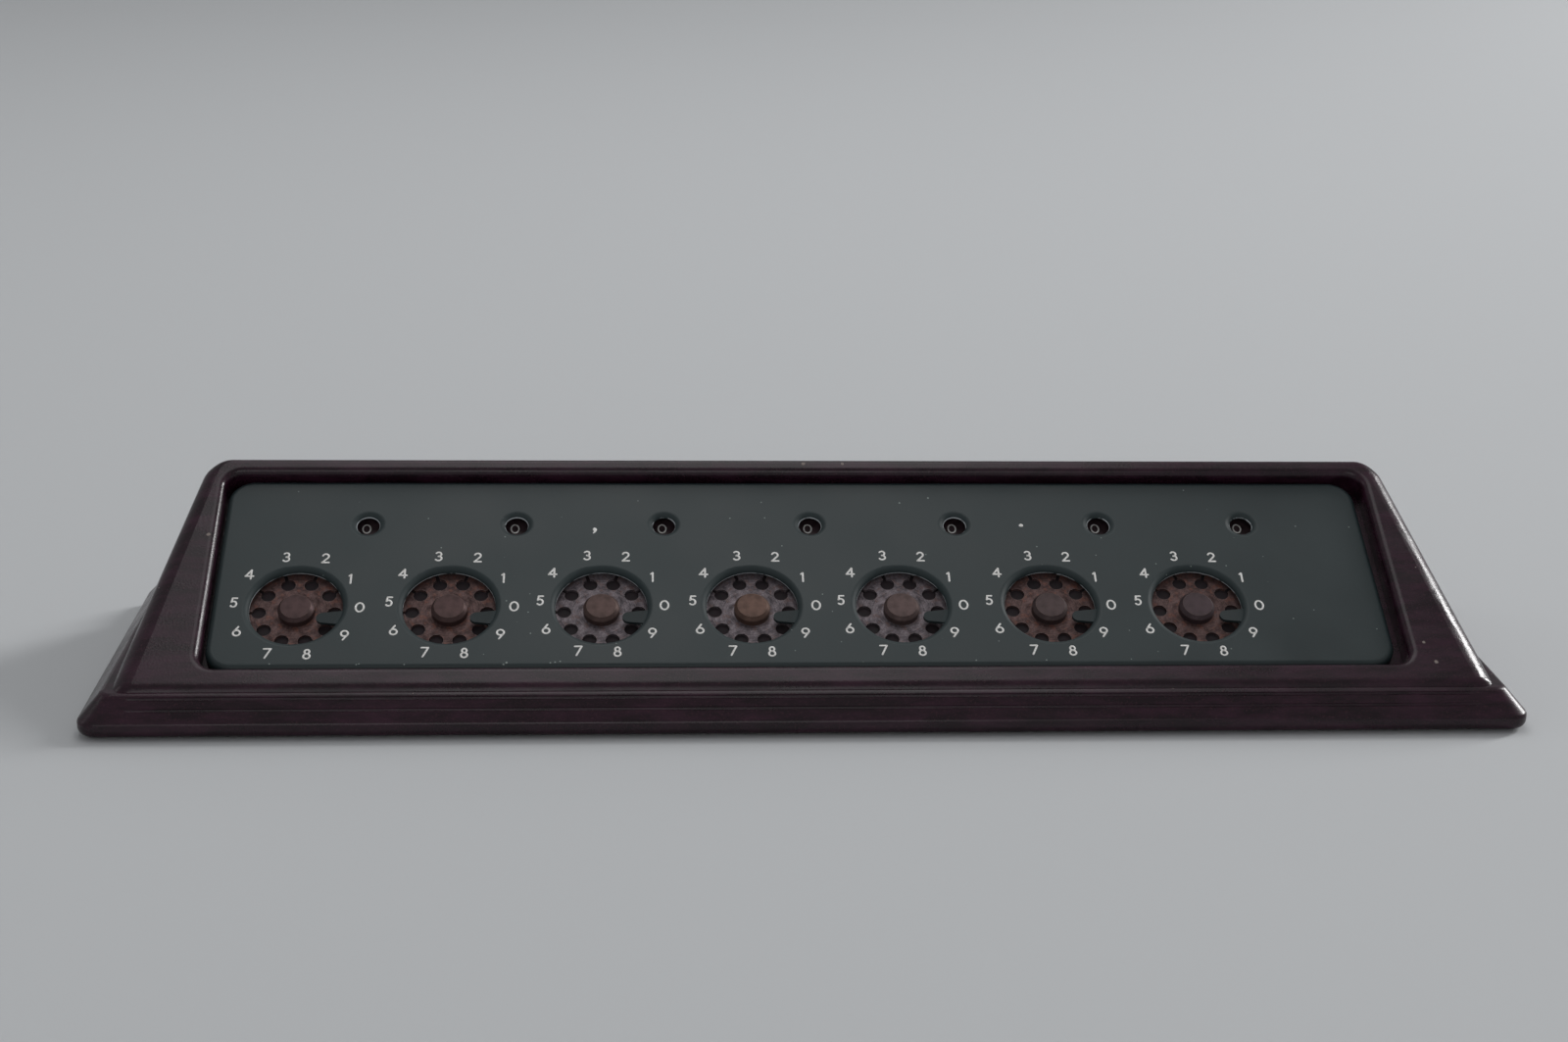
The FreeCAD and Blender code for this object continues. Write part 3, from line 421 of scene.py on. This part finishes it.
# Dial wheels: stamped steel, zinc plated in the middle columns and coppered in the outer ones.
# The plating has gone dull, brown and crazed, and is rubbed bright on the edges of the notches
# where the stylus drops in.
COPPERED = (1, 2, 6, 7)
for column in columns:
    coppered = column in COPPERED
    plating = "coppered" if coppered else "zinc_plated"
    wheel = new_material(f"{plating}_dial_steel_{column}", Metallic=0.45)
    place = in_mm(wheel, joints[f"dial_{column}_turn"]["pos_m"], TILT)
    blotches = add(wheel, "TexNoise", {"Vector": place, "Scale": 1 / 1.8, "Detail": 6.0,
                                       "Roughness": 0.72})
    worn = add(wheel, "MapRange", {"Value": blotches, "From Min": 0.36, "From Max": 0.62})
    if coppered:
        dark, pale, rust, fresh = "#402d2c", "#6f5654", "#784f45", "#94776e"
    else:
        dark, pale, rust, fresh = "#474045", "#877c81", "#6f5a58", "#b5abb0"
    tone = add(wheel, "Mix", {0: worn, FIRST: linear(dark), SECOND: linear(pale)},
               MIXED, data_type="RGBA")
    rusty = add(wheel, "TexNoise", {"Vector": place, "Scale": 1 / 1.4, "Detail": 3.0})
    rusty = add(wheel, "MapRange", {"Value": rusty, "From Min": 0.52, "From Max": 0.66})
    tone = add(wheel, "Mix", {0: rusty, FIRST: tone, SECOND: linear(rust)},
               MIXED, data_type="RGBA")
    flat = add(wheel, "SeparateXYZ", {0: place})
    circling = add(wheel, "Math", {0: flat.node.outputs["Y"], 1: flat}, operation="ARCTAN2")
    outward = add(wheel, "VectorMath", {0: place}, "Value", operation="LENGTH")
    circling = add(wheel, "CombineXYZ", {"X": circling, "Y": outward})
    circling = add(wheel, "Mapping", {"Vector": circling, "Scale": (1.2, 1 / 0.35, 1)})
    scuffs = add(wheel, "TexNoise", {"Vector": circling, "Scale": 1.0, "Detail": 4.0,
                                     "Roughness": 0.7})
    scuffs = add(wheel, "MapRange", {"Value": scuffs, "From Min": 0.5, "From Max": 0.68,
                                     "To Max": 0.4})
    tone = add(wheel, "Mix", {0: scuffs, FIRST: tone, SECOND: linear(fresh)},
               MIXED, data_type="RGBA")
    crazed = add(wheel, "TexVoronoi", {"Vector": place, "Scale": 1 / 0.8},
                 feature="DISTANCE_TO_EDGE")
    crazed = add(wheel, "MapRange", {"Value": crazed, "From Min": 0.02, "From Max": 0.1,
                                     "To Min": 0.45, "To Max": 0.0})
    tone = add(wheel, "Mix", {0: crazed, FIRST: tone, SECOND: linear(dark)},
               MIXED, data_type="RGBA")
    softened = add(wheel, "Bevel", {"Radius": 0.18 * MM}, samples=4)
    facing = add(wheel, "NewGeometry", output="Normal")
    match = add(wheel, "VectorMath", {0: softened, 1: facing}, "Value", operation="DOT_PRODUCT")
    rubbed = add(wheel, "MapRange", {"Value": match, "From Min": 0.97, "From Max": 0.8,
                                     "To Max": 0.7})
    tone = add(wheel, "Mix", {0: rubbed, FIRST: tone, SECOND: linear("#9b9090")},
               MIXED, data_type="RGBA")
    dull = add(wheel, "MapRange", {"Value": blotches, "From Min": 0.35, "From Max": 0.65,
                                   "To Min": 0.7, "To Max": 0.45})
    pitted = add(wheel, "Bump", {"Height": blotches, "Distance": 0.04 * MM})
    finish_with(wheel, Base_Color=tone, Roughness=dull, Normal=pitted)
    dress(f"dial_wheel_{column}", wheel)

# Dust discs: a thin brown washer of pressed paper lies under each dial wheel and turns with it.
# It keeps dust out of the gears, and is what shows, dark and soiled, at the bottom of each notch.
DISC_RADIUS = 12.6
DISC_HOLE = 5.3
DISC_THICKNESS = 0.14
DISC_LEVEL = -0.74
DISC_SEGMENTS = 96
pressed = new_material("pressed_paper")
place = in_mm(pressed)
stain = add(pressed, "TexNoise", {"Vector": place, "Scale": 1 / 1.5, "Detail": 5.0,
                                  "Roughness": 0.6})
stained = add(pressed, "MapRange", {"Value": stain, "From Min": 0.35, "From Max": 0.65})
tone = add(pressed, "Mix", {0: stained, FIRST: linear("#191115"), SECOND: linear("#2f2328")},
           MIXED, data_type="RGBA")
fibrous = add(pressed, "MapRange", {"Value": stained, "To Min": 0.7, "To Max": 0.9})
finish_with(pressed, Base_Color=tone, Roughness=fibrous)
for column in columns:
    shaped = bmesh.new()
    for radius in (DISC_RADIUS, DISC_HOLE):
        bmesh.ops.create_circle(shaped, segments=DISC_SEGMENTS, radius=radius)
    face = bmesh.ops.bridge_loops(shaped, edges=shaped.edges[:])
    walls = bmesh.ops.extrude_face_region(shaped, geom=face["faces"])
    lifted = [item for item in walls["geom"] if isinstance(item, bmesh.types.BMVert)]
    bmesh.ops.translate(shaped, verts=lifted, vec=(0, 0, DISC_THICKNESS))
    bmesh.ops.recalc_face_normals(shaped, faces=shaped.faces[:])
    origin = on_panel(joints[f"dial_{column}_turn"]["pos_m"], f"dial_wheel_{column}")
    origin = origin + UP * MM * (DISC_LEVEL - DISC_THICKNESS)
    axes = Matrix((SIDE, BACK, UP)).transposed().to_4x4()
    bmesh.ops.transform(shaped, verts=shaped.verts[:],
                        matrix=Matrix.Translation(origin) @ axes @ Matrix.Scale(MM, 4))
    mesh = bpy.data.meshes.new(f"dust_disc_{column}")
    shaped.to_mesh(mesh)
    shaped.free()
    mesh.materials.append(pressed)
    disc = bpy.data.objects.new(f"dust_disc_{column}", mesh)
    bpy.context.scene.collection.objects.link(disc)
    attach(disc, f"dial_{column}")

# Hub buttons: turned brass or steel, tarnished to an olive or greyish brown, with a faint spiral
# of the lathe on top and a bevelled edge that handling keeps a little brighter.
HUB_TONES = ("#533e3e", "#533d3c", "#5c4844", "#695046", "#5f4d4b", "#514242", "#4d3e42")
for column, tone in zip(columns, HUB_TONES):
    button = new_material(f"turned_button_{column}", Metallic=0.55)
    place = in_mm(button, joints[f"dial_{column}_turn"]["pos_m"], TILT)
    tarnish = add(button, "TexNoise", {"Vector": place, "Scale": 1 / 2.0, "Detail": 4.0})
    tarnished = add(button, "MapRange", {"Value": tarnish, "From Min": 0.35, "From Max": 0.65,
                                         "To Max": 0.35})
    turned_rings = add(button, "TexWave", {"Vector": place, "Scale": 0.8, "Distortion": 0.3},
                       wave_type="RINGS", rings_direction="Z")
    colour = add(button, "Mix", {0: tarnished, FIRST: linear(tone), SECOND: linear("#2e2624")},
                 MIXED, data_type="RGBA")
    softened = add(button, "Bevel", {"Radius": 0.2 * MM}, samples=4)
    facing = add(button, "NewGeometry", output="Normal")
    match = add(button, "VectorMath", {0: softened, 1: facing}, "Value", operation="DOT_PRODUCT")
    rubbed = add(button, "MapRange", {"Value": match, "From Min": 0.995, "From Max": 0.93,
                                      "To Max": 0.4})
    colour = add(button, "Mix", {0: rubbed, FIRST: colour, SECOND: linear("#8a786c")},
                 MIXED, data_type="RGBA")
    dull = add(button, "MapRange", {"Value": tarnish, "From Min": 0.3, "From Max": 0.7,
                                    "To Min": 0.45, "To Max": 0.6})
    grooved = add(button, "Bump", {"Height": turned_rings.node.outputs["Fac"],
                                   "Distance": 0.01 * MM})
    finish_with(button, Base_Color=colour, Roughness=dull, Normal=grooved)
    dress(f"hub_button_{column}", button)

# Bottom cover: sheet steel under black paint, held up in the case by five screws. The four feet
# are discs of green felt glued to it.
black = new_material("black_paint", IOR=1.5)
place = in_mm(black)
speckle = add(black, "TexNoise", {"Vector": place, "Scale": 1 / 1.0, "Detail": 4.0})
speckled = add(black, "MapRange", {"Value": speckle, "From Min": 0.35, "From Max": 0.65})
tone = add(black, "Mix", {0: speckled, FIRST: linear("#111112"), SECOND: linear("#1e1d1d")},
           MIXED, data_type="RGBA")
dull = add(black, "MapRange", {"Value": speckled, "To Min": 0.45, "To Max": 0.65})
finish_with(black, Base_Color=tone, Roughness=dull)
dress("bottom_cover", black)
felt = new_material("wool_felt", Roughness=0.95, Sheen_Weight=0.4)
place = in_mm(felt)
fibres = add(felt, "TexNoise", {"Vector": place, "Scale": 1 / 0.35, "Detail": 5.0,
                                "Roughness": 0.7})
matted = add(felt, "MapRange", {"Value": fibres, "From Min": 0.3, "From Max": 0.7})
tone = add(felt, "Mix", {0: matted, FIRST: linear("#1b2c22"), SECOND: linear("#35513f")},
           MIXED, data_type="RGBA")
fuzz = add(felt, "Bump", {"Height": fibres, "Distance": 0.15 * MM})
finish_with(felt, Base_Color=tone, Normal=fuzz)
dress("felt_feet", felt)

# Studio: a plain pale floor, a broad soft light overhead that the flats and the plate mirror, a
# strong narrow one far behind on the right, which draws the bright line along the case's right
# edge, and weak ones on the left and over the camera.
FLOOR_REACH = 15
floor_mesh = bpy.data.meshes.new("floor")
floor_mesh.from_pydata([(x * FLOOR_REACH, y * FLOOR_REACH, 0)
                        for x, y in ((-1, -1), (1, -1), (1, 1), (-1, 1))], [], [(0, 1, 2, 3)])
floor = bpy.data.objects.new("floor", floor_mesh)
bpy.context.scene.collection.objects.link(floor)
paper = new_material("floor_paper", Base_Color=linear("#c9cbcd"), Roughness=0.9)
floor_mesh.materials.append(paper)

world = bpy.data.worlds.new("studio")
bpy.context.scene.world = world
world.use_nodes = True
world.node_tree.nodes["Background"].inputs["Color"].default_value = linear("#e6e8ea")
world.node_tree.nodes["Background"].inputs["Strength"].default_value = 0.32


def lamp(name, place, aim, size, power):
    """Soft box of that size in metres and power in watts, aimed at a point."""
    data = bpy.data.lights.new(name, "AREA")
    data.shape = "RECTANGLE"
    data.size, data.size_y = size
    data.energy = power
    holder = bpy.data.objects.new(name, data)
    bpy.context.scene.collection.objects.link(holder)
    holder.location = place
    holder.rotation_euler = (Vector(aim) - Vector(place)).to_track_quat("-Z", "Y").to_euler()


lamp("overhead", (-0.04, 0.42, 1.2), (-0.04, 0.15, 0), (0.75, 1.25), 3.25)
lamp("front", (-0.1, -1.2, 0.55), (0, 0, 0.02), (0.8, 0.4), 1.3)
lamp("right_back", (2.8, 1.5, 1.5), (0, 0, 0.03), (0.5, 1.7), 72.0)
lamp("left", (-2.2, 0.2, 1.2), (0, 0, 0.02), (0.8, 1.0), 1.5)

# Camera: where the photograph was taken from, about 19 degrees above the table.
camera_data = bpy.data.cameras.new("camera")
camera_data.sensor_width = 36.0
camera_data.lens = 52.51
camera = bpy.data.objects.new("camera", camera_data)
bpy.context.scene.collection.objects.link(camera)
camera_place = Vector((-41.9, -531.957, 219.0)) * MM
camera_aim = Vector((1.8, 111.643, 0.0)) * MM
roll = math.radians(1.25)
looking = (camera_aim - camera_place).to_track_quat("-Z", "Y")
camera.location = camera_place
camera.rotation_euler = (looking @ Matrix.Rotation(roll, 3, "Z").to_quaternion()).to_euler()
bpy.context.scene.camera = camera
bpy.context.scene.view_settings.view_transform = "Standard"
